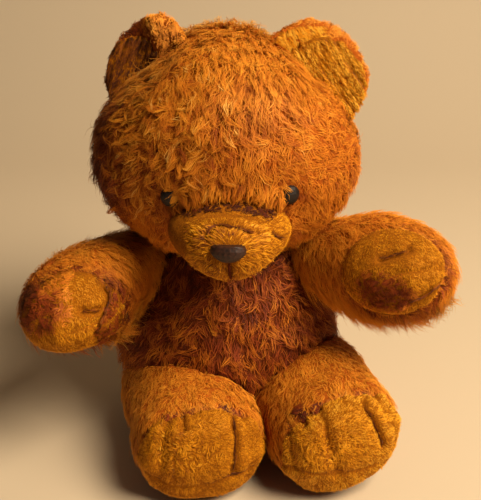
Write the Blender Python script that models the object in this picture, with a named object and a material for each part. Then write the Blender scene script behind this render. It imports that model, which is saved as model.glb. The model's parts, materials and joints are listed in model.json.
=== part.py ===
"""A seated teddy bear of long-pile plush, unjointed and stuffed.

Metres, +Z up. The bear faces -Y and sits on z = 0, with the origin in the middle of its flattened seat.
Left and right are the bear's own, so its left side is at +X.

Every stuffed part is a form, a rounded block of its own shape. A cover is the form less the same form
drawn in by the cloth's thickness. The stuffing fills what is left, and neighbours are cut by each other's
forms, let out by a small gap, so that sewn edges lie against each other without touching.
"""

import math

import bmesh
import bpy
from mathutils import Matrix, Vector, noise
from mathutils.bvhtree import BVHTree

GAP = 0.0003  # between pieces that lie on each other
PLUSH = 0.005  # backing cloth with its long pile pressed down
VELOUR = 0.003  # short-pile cloth of the muzzle and the pads
TUFT = 0.0022  # how far the matted locks stand up and sink in
TUFT_SIZE = 0.019

HEAD_CENTRE = (0.0010, -0.0100, 0.2450)
HEAD_RADII = (0.0970, 0.0860, 0.0845)
TORSO_CENTRE = (0.0, 0.0, 0.0860)
TORSO_RADII = (0.0940, 0.0740, 0.1000)
MUZZLE_CENTRE = (0.0040, -0.0890, 0.2035)
MUZZLE_RADII = (0.0445, 0.0500, 0.0285)
ARM_RADII = {"left": (0.0400, 0.0760, 0.0405), "right": (0.0375, 0.0760, 0.0370)}
LEG_RADII = (0.0540, 0.0760, 0.0430)
EAR_RADII = {"left": (0.0440, 0.0075, 0.0410), "right": (0.0480, 0.0075, 0.0455)}
LINING_RADII = (0.0345, 0.0040, 0.0350)
EAR_CUP = 0.012  # how far an ear's rim comes forward of its middle
NOSE_RADII = (0.0122, 0.0080, 0.0080)
EYE_RADIUS = 0.0075
EYE_HEIGHT = 0.0062
SHANK_RADIUS = 0.0020
SHANK_LENGTH = 0.0130
WASHER_RADIUS = 0.0055
WASHER_THICKNESS = 0.0012
WASHER_DEPTH = 0.0028  # from a cover's inner face to its washer, at the shank
POCKET = 0.0006  # room round the fittings in the stuffing

PALM_RADII = (0.0350, 0.0300)
SOLE_RADII = (0.0480, 0.0400)
SOLE_START = 0.0590  # from a leg form's middle to the seam round its sole
PAD_BULGE = 0.0035
CREASE_WIDTH = 0.08  # of a pad's radius
CREASE_DEPTH = 0.0050
PATCH_REACH = 0.045  # how far out a pad's grid is laid before it is drawn in to the limb

OUTER, INNER = "outer", "inner"


def smooth_step(x):
    x = min(max(x, 0.0), 1.0)
    return x * x * (3.0 - 2.0 * x)


def bump(x, middle, width):
    return math.exp(-(((x - middle) / width) ** 2))


# ---------------------------------------------------------------- shapes of the stuffed parts
# Each takes a point of the plain rounded block, in the part's own frame, and returns it moved.


def head_shape(p):
    across, up = p.x / HEAD_RADII[0], max(p.z, 0.0) / HEAD_RADII[2]
    crown = 1.0 - 0.46 * (across * up) ** 2
    wide = 1.0 + 0.06 * bump(p.z, -0.018, 0.035) - 0.05 * smooth_step((p.z - 0.02) / 0.06)
    brow = 0.006 * bump(p.z, 0.012, 0.03) * bump(p.x, 0.0, 0.06) * (p.y < 0.0)
    return Vector((p.x * wide * crown, p.y - brow, p.z * crown))


def torso_shape(p):
    up = smooth_step((p.z + 0.01) / 0.09)
    narrow = 1.0 - 0.14 * up
    belly = 0.010 * bump(p.z, -0.02, 0.05) * (p.y < 0.0)
    return Vector((p.x * narrow, p.y * narrow - belly, p.z))


def muzzle_shape(p):
    top = p.z / MUZZLE_RADII[2]
    tip = smooth_step((-p.y - 0.010) / 0.040)
    bridge = 0.0030 * bump(p.y, -0.026, 0.0050) * bump(p.x, 0.0, 0.030) * smooth_step(top * 2.0)
    lip = 0.0030 * bump(p.x, 0.0, 0.0050) * tip * smooth_step(-top * 1.6)
    narrow = 1.0 - 0.10 * tip - 0.22 * smooth_step(0.3 - 0.8 * top)
    return Vector((p.x * narrow, p.y + lip, p.z - bridge + 0.3 * lip))


def arm_shape(p):
    slim = 1.0 - 0.20 * smooth_step((p.y + 0.020) / 0.05)
    return Vector((p.x * slim, p.y, p.z * slim))


def leg_shape(p):
    ankle = 1.0 - 0.07 * bump(p.y, -0.022, 0.020)
    return Vector((p.x * ankle, p.y, p.z * ankle))


def ear_shape(radii, cup, fold):
    """A cupped ear: its rim comes forward, and past its middle it is folded forward by fold and gathered."""

    def shape(p):
        across, up = p.x / radii[0], p.z / radii[2]
        forward = cup * (across * across + 0.35 * up * up) + fold * smooth_step((across + 0.1) / 0.3)
        gather = 1.0 - 30.0 * fold * smooth_step(across)
        return Vector((p.x * gather, p.y - forward, p.z))

    return shape


def nose_shape(p):
    """A rounded triangle: broad and flat above, narrow below."""
    down = -p.z / NOSE_RADII[2]
    flat_top = min(p.z, 0.55 * NOSE_RADII[2])
    return Vector((p.x * (1.0 - 0.22 * smooth_step(down)), p.y, flat_top))


def plain(p):
    return p


# ---------------------------------------------------------------- where the parts are


def frame(centre, turn=(0.0, 0.0, 0.0)):
    """A placing matrix: turned about X, Y and Z in that order, in degrees, then moved to the centre."""
    angles = [math.radians(a) for a in turn]
    spin = Matrix.Rotation(angles[2], 4, "Z") @ Matrix.Rotation(angles[1], 4, "Y") @ Matrix.Rotation(angles[0], 4, "X")
    return Matrix.Translation(centre) @ spin


def limb_frame(root, tip, half_length, roll=0.0):
    """A limb's frame: -Y runs from its root to its tip, and the form ends at the tip."""
    along = (Vector(tip) - Vector(root)).normalized()
    spin = along.to_track_quat("-Y", "Z").to_matrix().to_4x4() @ Matrix.Rotation(math.radians(roll), 4, "Y")
    return Matrix.Translation(Vector(tip) - along * half_length) @ spin


class Form:
    """A rounded block: radii, the axis whose profile the exponent squares off, and how it is shaped."""

    def __init__(self, place, radii, axis="Z", exponent=2.0, shape=plain, detail=(8, 4), tuft=0.0):
        self.place = place
        self.radii = radii
        self.axis = "XYZ".index(axis)
        self.exponent = exponent
        self.shape = shape
        self.detail = dict(zip((OUTER, INNER), detail))
        self.tuft = tuft

    def point(self, direction):
        along = abs(direction[self.axis])
        across = math.sqrt(max(1.0 - along * along, 0.0))
        m = self.exponent
        reach = (across**m + along**m) ** (-1.0 / m)
        return self.shape(Vector(d * reach * r for d, r in zip(direction, self.radii)))


FORMS = {
    "head": Form(frame(HEAD_CENTRE), HEAD_RADII, "Z", 2.5, head_shape, (8, 5), TUFT),
    "muzzle": Form(frame(MUZZLE_CENTRE, (-6.0, 0.0, 0.0)), MUZZLE_RADII, "Y", 2.3, muzzle_shape, (8, 4)),
    "torso": Form(frame(TORSO_CENTRE), TORSO_RADII, "Z", 2.3, torso_shape, (7, 4), TUFT),
    "arm_right": Form(
        limb_frame((-0.056, 0.000, 0.148), (-0.1375, -0.120, 0.142), ARM_RADII["right"][1]),
        ARM_RADII["right"], "Y", 2.5, arm_shape, (6, 3), TUFT,
    ),
    "arm_left": Form(
        limb_frame((0.066, -0.010, 0.148), (0.164, -0.096, 0.170), ARM_RADII["left"][1]),
        ARM_RADII["left"], "Y", 2.5, arm_shape, (6, 3), TUFT,
    ),
    "leg_right": Form(
        limb_frame((-0.039, -0.014, 0.041), (-0.0140, -0.1495, 0.042), LEG_RADII[1], 3.0),
        LEG_RADII, "Y", 4.0, leg_shape, (6, 3), TUFT,
    ),
    "leg_left": Form(
        limb_frame((0.054, -0.016, 0.041), (0.0930, -0.143, 0.048), LEG_RADII[1], -16.0),
        LEG_RADII, "Y", 4.0, leg_shape, (6, 3), TUFT,
    ),
    "ear_left": Form(
        frame((0.0649, -0.0040, 0.2946), (-12.0, 40.0, -4.0)),
        EAR_RADII["left"], "Y", 2.0, ear_shape(EAR_RADII["left"], EAR_CUP, 0.0), (5, 3), TUFT,
    ),
    "ear_right": Form(
        frame((-0.0440, -0.0020, 0.2950), (-12.0, -20.0, -18.0)),
        EAR_RADII["right"], "Y", 2.0, ear_shape(EAR_RADII["right"], EAR_CUP, 0.009), (5, 3), TUFT,
    ),
}

# An ear's lining lies in its hollow: how far to the side, how wide beside its usual width.
for side, aside, wide in (("left", 0.0080, 1.0), ("right", -0.0165, 0.80)):
    back = FORMS["ear_" + side]
    FORMS["lining_" + side] = Form(
        back.place @ Matrix.Translation((0.0, -0.0062, 0.0)),
        LINING_RADII, "Y", 2.0,
        lambda p, aside=aside, wide=wide, back=back: back.shape(Vector((p.x * wide + aside, p.y, p.z))),
        (4, 3),
    )


# ---------------------------------------------------------------- building blocks

made_forms = {}


def new_object(name, bm, place=None, shown=True):
    """An object with this bmesh as its mesh. A helper that isn't shown only cuts others."""
    bmesh.ops.recalc_face_normals(bm, faces=bm.faces[:])
    mesh = bpy.data.meshes.new(name)
    bm.to_mesh(mesh)
    bm.free()
    made = bpy.data.objects.new(name, mesh)
    made.matrix_world = place or Matrix.Identity(4)
    bpy.context.scene.collection.objects.link(made)
    if not shown:
        made.hide_render = True
        made.display_type = "WIRE"
    return made


def round_block(segments):
    """A unit ball of six square grids, as a bmesh."""
    bm = bmesh.new()
    bmesh.ops.create_cube(bm, size=2.0)
    bmesh.ops.subdivide_edges(bm, edges=bm.edges[:], cuts=segments - 1, use_grid_fill=True)
    for v in bm.verts:
        v.co = Vector(math.tan(c * math.pi / 4.0) for c in v.co).normalized()
    # Every copy of a form then folds along the same diagonals, whatever its swell.
    bmesh.ops.triangulate(bm, faces=bm.faces[:], quad_method="FIXED")
    return bm


def form_mesh(form, swell, level, tufted=True):
    """A form let out, or drawn in, by swell along its own normals, and flat where it sits on the floor."""
    bm = round_block(form.detail[level])
    for v in bm.verts:
        v.co = form.point(v.co)
    bm.normal_update()
    normals = [v.normal.copy() for v in bm.verts]
    lift = form.tuft if tufted and level == OUTER else 0.0
    for v, normal in zip(bm.verts, normals):
        world = form.place @ v.co
        v.co += normal * (swell + lift * noise.noise(world / TUFT_SIZE))
    to_local = form.place.inverted()
    for v in bm.verts:
        world = form.place @ v.co
        if world.z < -swell:
            world.z = -swell
            v.co = to_local @ world
    return bm


def form(name, swell=0.0):
    """The hidden cutter of a form, made once for each swell. Drawn-in forms are the coarser inner ones."""
    key = (name, swell)
    if key not in made_forms:
        level = INNER if swell < 0.0 else OUTER
        bm = form_mesh(FORMS[name], swell, level)
        made_forms[key] = new_object(f"{name}_form_{len(made_forms)}", bm, FORMS[name].place, shown=False)
    return made_forms[key]


def combine(target, operation, *others):
    for other in others:
        modifier = target.modifiers.new(operation.title(), "BOOLEAN")
        modifier.operation = operation
        modifier.solver = "EXACT"
        modifier.object = other
    return target


def cut(target, *others):
    return combine(target, "DIFFERENCE", *others)


def cylinder(name, place, radii, start, end, segments=20, shown=False):
    """An elliptical cylinder along the frame's -Y, from start to end."""
    bm = bmesh.new()
    turn = Matrix.Rotation(math.radians(90.0), 4, "X")
    bmesh.ops.create_cone(
        bm, cap_ends=True, segments=segments, radius1=1.0, radius2=1.0, depth=end - start, matrix=turn
    )
    for v in bm.verts:
        v.co = Vector((v.co.x * radii[0], v.co.y - (start + end) / 2.0, v.co.z * radii[1]))
    return new_object(name, bm, place, shown)


def dress(target, material):
    target.data.materials.clear()
    target.data.materials.append(material)
    for polygon in target.data.polygons:
        polygon.use_smooth = True
    return target


def material(name, colour, roughness):
    made = bpy.data.materials.new(name)
    made.use_nodes = True
    shader = made.node_tree.nodes["Principled BSDF"]
    shader.inputs["Base Color"].default_value = (*colour, 1.0)
    shader.inputs["Roughness"].default_value = roughness
    shader.inputs["Metallic"].default_value = 0.0
    made.diffuse_color = (*colour, 1.0)
    return made


# ---------------------------------------------------------------- the pieces


def shell(name, form_name, thickness, cloth):
    """A cover: the form less the same form drawn in by the cloth's thickness."""
    piece = new_object(name, form_mesh(FORMS[form_name], 0.0, OUTER), FORMS[form_name].place)
    cut(piece, form(form_name, -thickness))
    return dress(piece, cloth)


def filling(name, form_name, thickness, wadding):
    swell = -thickness - GAP
    piece = new_object(name, form_mesh(FORMS[form_name], swell, INNER), FORMS[form_name].place)
    return dress(piece, wadding)


def pad(name, form_name, place, radii, lines, relief, column, cloth):
    """A short-pile pad let into a limb: a patch of the limb's form, raised by its relief and cut to its edge.

    place is the pad's frame in the limb: -Y looks out of the pad. lines are the patch's rows and columns in
    fractions of the radii, and relief(across, up) is in metres.
    """
    limb = FORMS[form_name]
    bm = bmesh.new()
    rows, columns = lines
    surface, core = [], []
    for up in rows:
        for layer in (surface, core):
            layer.append([])
        for across in columns:
            aim = place @ Vector((across * radii[0], -PATCH_REACH, up * radii[1]))
            point = limb.point(Vector(a / r for a, r in zip(aim, limb.radii)).normalized())
            surface[-1].append(bm.verts.new(point))
            core[-1].append(bm.verts.new(point * 0.12))
    last_row, last_column = len(rows) - 1, len(columns) - 1
    for layer in (surface, core):
        for low, high in zip(layer, layer[1:]):
            for c in range(last_column):
                bm.faces.new((low[c], low[c + 1], high[c + 1], high[c]))
    rim = [(0, c) for c in range(last_column)]
    rim += [(r, last_column) for r in range(last_row)]
    rim += [(last_row, c) for c in range(last_column, 0, -1)]
    rim += [(r, 0) for r in range(last_row, 0, -1)]
    for (r0, c0), (r1, c1) in zip(rim, rim[1:] + rim[:1]):
        bm.faces.new((surface[r0][c0], surface[r1][c1], core[r1][c1], core[r0][c0]))
    bmesh.ops.recalc_face_normals(bm, faces=bm.faces[:])
    bm.normal_update()
    raised = [(v, v.normal * relief(a, u)) for u, row in zip(rows, surface) for a, v in zip(columns, row)]
    for v, lift in raised:
        v.co += lift
    piece = new_object(name, bm, limb.place)
    combine(piece, "INTERSECT", column)
    cut(piece, form(form_name, -PLUSH))
    return dress(piece, cloth)


def pad_column(name, form_name, place, radii, start, swell):
    """The column along a pad's outward axis that a pad is cut from, or its hole when let out by a gap."""
    wide = tuple(r + swell for r in radii)
    return cylinder(name, FORMS[form_name].place @ place, wide, start - swell, 0.12, 20)


def grid_lines(reach, count, creases):
    """Even lines from -reach to reach, with three at each crease: its valley and its two shoulders."""
    shoulders = [c + s * CREASE_WIDTH for c in creases for s in (-1.0, 0.0, 1.0)]
    even = [reach * (2.0 * i / (count - 1) - 1.0) for i in range(count)]
    kept = [x for x in even if all(abs(x - s) > 0.6 * CREASE_WIDTH for s in shoulders)]
    return sorted(kept + shoulders)


def crease(x, valleys):
    """Depth of the sewn valleys at x, deepest on each valley's line."""
    return CREASE_DEPTH * max((max(0.0, 1.0 - abs(x - v) / CREASE_WIDTH) for v in valleys), default=0.0)


def dome(across, up):
    return PAD_BULGE * (1.0 - min(across * across + up * up, 1.0))


def sole_relief(toe_creases, seam):
    """Toes that bulge between their creases, over a seam along the bottom of the foot."""

    def relief(across, up):
        toes = crease(across, toe_creases) * smooth_step((up + 0.45) / 0.5)
        at_edge = smooth_step((math.hypot(across, up) - 0.7) / 0.3)
        return dome(across, up) - max(toes, 0.7 * crease(up, (seam,))) * (1.0 - 0.7 * at_edge)

    return relief


def palm_relief(dart):
    """Two cushions parted by a short dart that runs in from the pad's edge."""

    def relief(across, up):
        at_edge = smooth_step((math.hypot(across, up) - 0.7) / 0.3)
        depth = crease(up, (dart,)) * smooth_step((across + 0.1) / 0.5)
        return dome(across, up) - depth * (1.0 - 0.7 * at_edge)

    return relief


def fitting(name, base_form, cover_thickness, place, dome, material_of):
    """A moulded face fitting: a dome on the cover, a shank through it, and a washer pushed on inside.

    place has its origin on the cover's outer face, with -Y out of the face. Returns the fitting, its washer
    and the cutters for the cover and the stuffing.
    """
    piece = dress(dome, material_of["fitting"])
    cut(piece, form(base_form, GAP))
    shank_radii = (SHANK_RADIUS, SHANK_RADIUS)
    combine(piece, "UNION", cylinder(name + "_shank", place, shank_radii, -SHANK_LENGTH, 0.0022, 10))
    hole_radii = (SHANK_RADIUS + GAP, SHANK_RADIUS + GAP)
    hole = cylinder(name + "_hole", place, hole_radii, -SHANK_LENGTH - 0.001, 0.02, 10)
    seat = cover_thickness + WASHER_DEPTH
    washer_radii = (WASHER_RADIUS, WASHER_RADIUS)
    washer = cylinder(
        name + "_washer", place, washer_radii, -seat - WASHER_THICKNESS, -seat, 14, shown=True
    )
    dress(cut(washer, hole), material_of["washer"])
    room = (WASHER_RADIUS + POCKET, WASHER_RADIUS + POCKET)
    pocket = cylinder(name + "_pocket", place, room, -SHANK_LENGTH - POCKET, 0.0, 12)
    return hole, pocket


def on_surface(form_name, start, towards):
    """A frame on a form's outer face where a ray from start meets it: -Y out of the face, Z near up."""
    shape = FORMS[form_name]
    bm = form_mesh(shape, 0.0, OUTER, tufted=False)
    tree = BVHTree.FromBMesh(bm)
    bm.free()
    local = shape.place.inverted()
    direction = (local.to_3x3() @ Vector(towards)).normalized()
    hit, normal = tree.ray_cast(local @ Vector(start), direction)[:2]
    out = shape.place.to_3x3() @ (normal if normal.dot(direction) > 0.0 else -normal)
    return Matrix.Translation(shape.place @ hit) @ out.to_track_quat("-Y", "Z").to_matrix().to_4x4()


def build_head(cloths):
    centre = Vector(HEAD_CENTRE)
    cover = shell("head_cover", "head", PLUSH, cloths["plush"])
    stuffing = filling("head_stuffing", "head", PLUSH, cloths["wadding"])
    muzzle = shell("muzzle_cover", "muzzle", VELOUR, cloths["velour"])
    muzzle_filling = new_object(
        "muzzle_filling", form_mesh(FORMS["muzzle"], -VELOUR - GAP, INNER), FORMS["muzzle"].place, shown=False
    )
    cut(cover, form("muzzle", GAP))
    cut(muzzle, form("head", -PLUSH))
    combine(stuffing, "UNION", muzzle_filling)

    nose_place = on_surface("muzzle", MUZZLE_CENTRE, (0.0, -0.62, 0.11))
    nose = new_object(
        "nose",
        form_mesh(Form(nose_place, NOSE_RADII, "Y", 2.2, nose_shape, (5, 3)), 0.0, OUTER),
        nose_place,
    )
    hole, pocket = fitting("nose", "muzzle", VELOUR, nose_place, nose, cloths["nose_parts"])
    cut(muzzle, hole)
    cut(stuffing, pocket)

    for side, across in (("left", 0.0465), ("right", -0.0355)):
        aim = Vector((across, -0.089, 0.2320)) - centre
        place = on_surface("head", centre, aim)
        name = "eye_" + side
        dome_form = Form(place, (EYE_RADIUS, EYE_HEIGHT, EYE_RADIUS), "Y", 2.0, plain, (4, 3))
        dome = new_object(name, form_mesh(dome_form, 0.0, OUTER), place)
        hole, pocket = fitting(name, "head", PLUSH, place, dome, cloths["eye_parts"])
        cut(cover, hole)
        cut(stuffing, pocket)


def build_ears(cloths):
    for side in ("left", "right"):
        ear, lining_form = "ear_" + side, "lining_" + side
        back = new_object("ear_back_" + side, form_mesh(FORMS[ear], 0.0, OUTER), FORMS[ear].place)
        cut(dress(back, cloths["plush"]), form("head", GAP))
        lining = new_object(
            "ear_front_" + side, form_mesh(FORMS[lining_form], 0.0, OUTER), FORMS[lining_form].place
        )
        cut(dress(lining, cloths["velour"]), form("head", GAP), form(ear, GAP))


def build_torso(cloths):
    cover = shell("torso_cover", "torso", PLUSH, cloths["plush"])
    stuffing = filling("torso_stuffing", "torso", PLUSH, cloths["wadding"])
    for piece in (cover, stuffing):
        cut(piece, form("head", GAP), form("muzzle", GAP))


def build_limb(name, cloths):
    cover = shell(name + "_cover", name, PLUSH, cloths["plush"])
    stuffing = filling(name + "_stuffing", name, PLUSH, cloths["wadding"])
    for piece in (cover, stuffing):
        cut(piece, form("torso", GAP))
    return cover, stuffing


def add_pad(cover, name, limb, place, radii, lines, relief, edge, start, cloths):
    """Let a pad into a limb's cover: edge is the radii of the column that cuts both, from start outwards."""
    cut(cover, pad_column(name + "_hole", limb, place, edge, start, GAP))
    column = pad_column(name + "_column", limb, place, edge, start, 0.0)
    pad(name, limb, place, radii, lines, relief, column, cloths["velour"])


def build_arms(cloths):
    dart = 0.05
    lines = grid_lines(2.4, 10, (dart,)), grid_lines(2.0, 8, ())
    for side, turn, tilt, out in (("left", -50.0, -14.0, 0.0235), ("right", 38.0, 0.0, 0.0300)):
        arm = "arm_" + side
        cover, stuffing = build_limb(arm, cloths)
        for piece in (cover, stuffing):
            cut(piece, form("head", GAP))
        place = frame((0.0, -out, 0.0), (tilt, 0.0, turn))
        add_pad(
            cover, "palm_pad_" + side, arm, place, PALM_RADII, lines, palm_relief(dart), PALM_RADII, 0.0, cloths
        )


def build_legs(cloths):
    seam = -0.55
    for side, creases in (("left", (-0.55, -0.16, 0.50)), ("right", (-0.40, 0.45))):
        leg = "leg_" + side
        cover, stuffing = build_limb(leg, cloths)
        if side == "left":
            for piece in (cover, stuffing):
                cut(piece, form("leg_right", GAP))
        lines = grid_lines(1.3, 7, (seam,)), grid_lines(1.3, 8, creases)
        add_pad(
            cover, "sole_" + side, leg, Matrix.Identity(4), SOLE_RADII, lines, sole_relief(creases, seam),
            (0.08, 0.08), SOLE_START, cloths,
        )


def build():
    for old in list(bpy.data.objects):
        bpy.data.objects.remove(old)
    black_plastic = material("black_plastic", (0.030, 0.018, 0.014), 0.35)
    eye_plastic = material("eye_plastic", (0.020, 0.024, 0.026), 0.12)
    washer_plastic = material("washer_plastic", (0.80, 0.79, 0.74), 0.5)
    cloths = {
        "plush": material("rust_plush", (0.42, 0.15, 0.03), 0.95),
        "velour": material("gold_velour", (0.60, 0.29, 0.05), 0.95),
        "wadding": material("wadding", (0.82, 0.80, 0.74), 1.0),
        "nose_parts": {"fitting": black_plastic, "washer": washer_plastic},
        "eye_parts": {"fitting": eye_plastic, "washer": washer_plastic},
    }
    build_head(cloths)
    build_ears(cloths)
    build_torso(cloths)
    build_arms(cloths)
    build_legs(cloths)


build()
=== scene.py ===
"""Looks of the threadbare teddy bear: stuffed skins, long and short pile, fittings, thread, floor, light.

Metres, +Z up. The bear faces -Y and its own left is +X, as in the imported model.

Each stuffed part gets a smooth skin made from its CAD solids, and a pile that grows from that skin. A pile
is one mesh of narrow ribbons, and each ribbon is a strand of a few hairs. Its map "strand" holds the strand's
tone and how far along it a point lies, and its colour depends on nothing else.
"""

import json
import math

import bmesh
import bpy
import numpy as np
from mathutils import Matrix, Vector, noise
from mathutils.bvhtree import BVHTree
from mathutils.kdtree import KDTree

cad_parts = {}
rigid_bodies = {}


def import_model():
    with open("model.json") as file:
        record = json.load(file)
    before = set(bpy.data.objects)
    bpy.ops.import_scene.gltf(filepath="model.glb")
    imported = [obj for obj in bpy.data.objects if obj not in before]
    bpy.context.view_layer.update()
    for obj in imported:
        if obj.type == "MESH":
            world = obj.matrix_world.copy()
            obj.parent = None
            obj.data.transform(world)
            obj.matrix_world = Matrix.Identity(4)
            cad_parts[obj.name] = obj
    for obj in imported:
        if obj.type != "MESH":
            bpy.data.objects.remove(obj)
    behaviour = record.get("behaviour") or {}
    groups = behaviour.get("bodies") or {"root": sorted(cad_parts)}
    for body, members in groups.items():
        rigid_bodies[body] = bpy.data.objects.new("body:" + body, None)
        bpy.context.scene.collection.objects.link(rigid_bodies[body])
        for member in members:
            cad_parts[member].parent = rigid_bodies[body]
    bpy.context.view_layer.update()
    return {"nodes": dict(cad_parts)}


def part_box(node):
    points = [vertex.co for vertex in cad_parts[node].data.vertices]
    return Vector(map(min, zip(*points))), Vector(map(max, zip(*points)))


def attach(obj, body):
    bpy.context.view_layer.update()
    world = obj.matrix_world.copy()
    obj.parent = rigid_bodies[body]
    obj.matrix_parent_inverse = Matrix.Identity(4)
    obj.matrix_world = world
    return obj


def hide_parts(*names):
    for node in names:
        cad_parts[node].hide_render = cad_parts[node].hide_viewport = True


for old in list(bpy.data.objects):
    bpy.data.objects.remove(old)
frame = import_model()
nodes = frame["nodes"]
scene = bpy.context.scene

# The share of each pile's strands that is made.
DENSITY = 1.0
# The least height of a skin and of a strand over the floor, and how deep a strand is rooted under its skin.
SKIN_HEIGHT = 0.0002
STRAND_HEIGHT = 0.0004
ROOT_DEPTH = 0.0005

# -------- numbers


def unit(v):
    return v / np.maximum(np.linalg.norm(v, axis=-1, keepdims=True), 1e-12)


def smooth_step(x):
    x = np.clip(x, 0.0, 1.0)
    return x * x * (3.0 - 2.0 * x)


def above(x, limit, width):
    """0 up to the limit, and 1 from this width past it."""
    return smooth_step((x - limit) / width)


def below(x, limit, width):
    """1 up to this width before the limit, and 0 from the limit on."""
    return smooth_step((limit - x) / width)


def hill(x, middle, width):
    return np.exp(-(((x - middle) / width) ** 2))


def noise_at(points, size, seed):
    """Smooth noise from about -1 to 1 at each point, with lumps of this size."""
    shift = Vector((seed * 17.31, seed * 5.77, seed * 11.13))
    return np.array([noise.noise(Vector(p) / size + shift) for p in points])


def streaks_at(points, size, stretch, direction, seed):
    """Smooth noise whose lumps are drawn out along one direction."""
    d = unit(np.array(direction, float))
    along = (points @ d)[:, None] * d
    return noise_at(points - (1.0 - 1.0 / stretch) * along, size, seed)


def noise_vectors(points, size, seed):
    return np.stack([noise_at(points, size, seed + k * 0.37) for k in range(3)], axis=1)


def spot(points, centre, size, scale=1.0):
    """1 at the centre, falling to 0 over this size. A scale below 1 draws it out along that axis."""
    away = points * scale - np.array(centre) * scale
    return np.exp(-(away**2).sum(axis=1) / size**2)


# -------- meshes


def object_of(name, mesh):
    made = bpy.data.objects.new(name, mesh)
    scene.collection.objects.link(made)
    return made


def set_values(thing, **values):
    for key, value in values.items():
        setattr(thing, key, value)


def modify(made, **modifiers):
    """Put modifiers on an object, each a type and its settings, and keep the mesh that they make."""
    for kind, settings in modifiers.items():
        set_values(made.modifiers.new(kind, kind), **settings)
    graph = bpy.context.evaluated_depsgraph_get()
    mesh = bpy.data.meshes.new_from_object(made.evaluated_get(graph))
    made.modifiers.clear()
    old, made.data = made.data, mesh
    bpy.data.meshes.remove(old)


def shade_smooth(mesh):
    mesh.polygons.foreach_set("use_smooth", np.ones(len(mesh.polygons), bool))
    mesh.update()


def keep_largest_part(mesh):
    """Drop everything but a mesh's largest connected part."""
    bm = bmesh.new()
    bm.from_mesh(mesh)
    left, largest = set(bm.verts), set()
    while left:
        part, rim = set(), {left.pop()}
        while rim:
            part |= rim
            rim = {edge.other_vert(v) for v in rim for edge in v.link_edges} - part
        left -= part
        largest = max(largest, part, key=len)
    bmesh.ops.delete(bm, geom=[v for v in bm.verts if v not in largest], context="VERTS")
    bm.to_mesh(mesh)
    bm.free()


def get_points(made, what="co"):
    values = np.empty(len(made.data.vertices) * 3)
    made.data.vertices.foreach_get(what, values)
    return values.reshape(-1, 3)


def get_normals(made):
    return get_points(made, "normal")


def set_points(made, points):
    made.data.vertices.foreach_set("co", points.astype(np.float32).ravel())
    made.data.update()


def get_triangles(made):
    made.data.calc_loop_triangles()
    triangles = np.empty(len(made.data.loop_triangles) * 3, np.int32)
    made.data.loop_triangles.foreach_get("vertices", triangles)
    return triangles.reshape(-1, 3)


def move_points(made, along_normals):
    """Move each vertex along its normal by these metres."""
    set_points(made, get_points(made) + get_normals(made) * along_normals[:, None])


def wrap(name, sources, voxel, smoothing):
    """One smooth closed mesh round these CAD nodes."""
    bm = bmesh.new()
    for source in sources:
        bm.from_mesh(nodes[source].data)
    bmesh.ops.remove_doubles(bm, verts=bm.verts[:], dist=1e-6)
    mesh = bpy.data.meshes.new(name)
    bm.to_mesh(mesh)
    bm.free()
    made = object_of(name, mesh)
    modify(made, REMESH=dict(mode="VOXEL", voxel_size=voxel), SMOOTH=dict(factor=0.5, iterations=smoothing))
    keep_largest_part(made.data)
    shade_smooth(made.data)
    return made


def tree_of(names):
    points, faces = [], []
    for name in names:
        mesh = nodes[name].data
        start = len(points)
        points += [v.co.copy() for v in mesh.vertices]
        faces += [[start + i for i in p.vertices] for p in mesh.polygons]
    return BVHTree.FromPolygons(points, faces)


def exposed(made, names, reach=0.006, least=0.0007):
    """1 where a skin looks out freely, and 0 where one of these nodes lies over it or against it."""
    tree = tree_of(names)
    out = np.ones(len(made.data.vertices))
    for i, (p, n) in enumerate(zip(get_points(made), get_normals(made))):
        covered = tree.ray_cast(p, n, reach)[0] is not None
        touching = tree.find_nearest(p, least)[0] is not None
        if covered or touching:
            out[i] = 0.0
    return out


def outer(made, off=0.001, reach=0.08):
    """1 on the outer surface of a hollow skin, and 0 on its inner one, which faces another part of it."""
    out = np.ones(len(made.data.vertices))
    for i, (p, n) in enumerate(zip(get_points(made), get_normals(made))):
        if made.ray_cast(p + off * n, n, distance=reach)[0]:
            out[i] = 0.0
    return out


# -------- lines on the surface


def on_front(made, across, up):
    """The point of a skin that is seen from straight ahead at this X and Z."""
    hit, place = made.ray_cast((across, -1.0, up), (0.0, 1.0, 0.0))[:2]
    return place if hit else made.closest_point_on_mesh((across, -0.1, up))[1]


def run_of(line):
    """How far along a line each of its points lies."""
    return np.concatenate([[0.0], np.cumsum(np.linalg.norm(np.diff(line, axis=0), axis=1))])


def laid_line(made, corners, step=0.0006):
    """Points every step along a line given by its corners, X and Z as seen from ahead, laid on a skin."""
    corners = np.array(corners)
    along = run_of(corners)
    places = np.linspace(0.0, along[-1], max(3, int(along[-1] / step)))
    xz = np.stack([np.interp(places, along, corners[:, k]) for k in (0, 1)], axis=1)
    for _ in range(6):  # rounds the corners
        xz[1:-1] = 0.25 * xz[:-2] + 0.5 * xz[1:-1] + 0.25 * xz[2:]
    return np.array([on_front(made, x, z) for x, z in xz])


def kd_tree(points):
    tree = KDTree(len(points))
    for i, p in enumerate(points):
        tree.insert(p, i)
    tree.balance()
    return tree


def from_lines(points, lines):
    """How far each point is from the nearest line, and the unit vector away from it."""
    tree = kd_tree(np.concatenate(lines))
    nearest, _, distance = zip(*(tree.find(p) for p in points))
    return np.array(distance), unit(points - np.array(nearest))


def crease(made, lines, depth, width, puff, puff_width):
    """Sink a skin along its sewn lines and let it swell between them."""
    distance = from_lines(get_points(made), lines)[0]
    move_points(made, puff * smooth_step(distance / puff_width) - depth * hill(distance, 0.0, width))


def ease(made, iterations, freedom):
    """Smooth a skin where its points are free to move."""
    group = made.vertex_groups.new(name="free")
    for i, weight in enumerate(freedom):
        group.add([i], float(weight), "REPLACE")
    modify(made, SMOOTH=dict(vertex_group=group.name, factor=0.5, iterations=iterations))


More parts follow.
